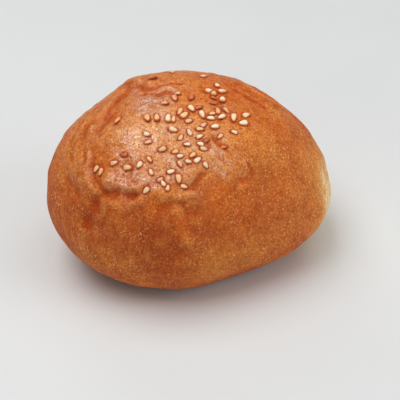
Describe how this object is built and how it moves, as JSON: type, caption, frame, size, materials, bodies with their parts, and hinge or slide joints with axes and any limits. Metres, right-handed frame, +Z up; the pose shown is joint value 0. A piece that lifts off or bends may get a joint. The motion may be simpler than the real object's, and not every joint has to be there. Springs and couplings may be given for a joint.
{
  "type": "sesame bun",
  "caption": "Sesame bun: round baked roll with an uneven glazed crust, folds over its shoulder and front, and a flat foot it rests on.",
  "frame": {"origin": "middle of the bun's box in plan, on the flat it rests on", "axes": "+Z up from the foot to the crown, +X along the wider way of the plan, and the pictured side faces -Y"},
  "size_m": [0.09, 0.082, 0.0556],
  "materials": {
    "crust": "baked golden-brown crust, egg-washed and half glossy on the crown, matt and paler low on the sides"
  },
  "bodies": {
    "root": {"bun": "crust"}
  },
  "joints": []
}
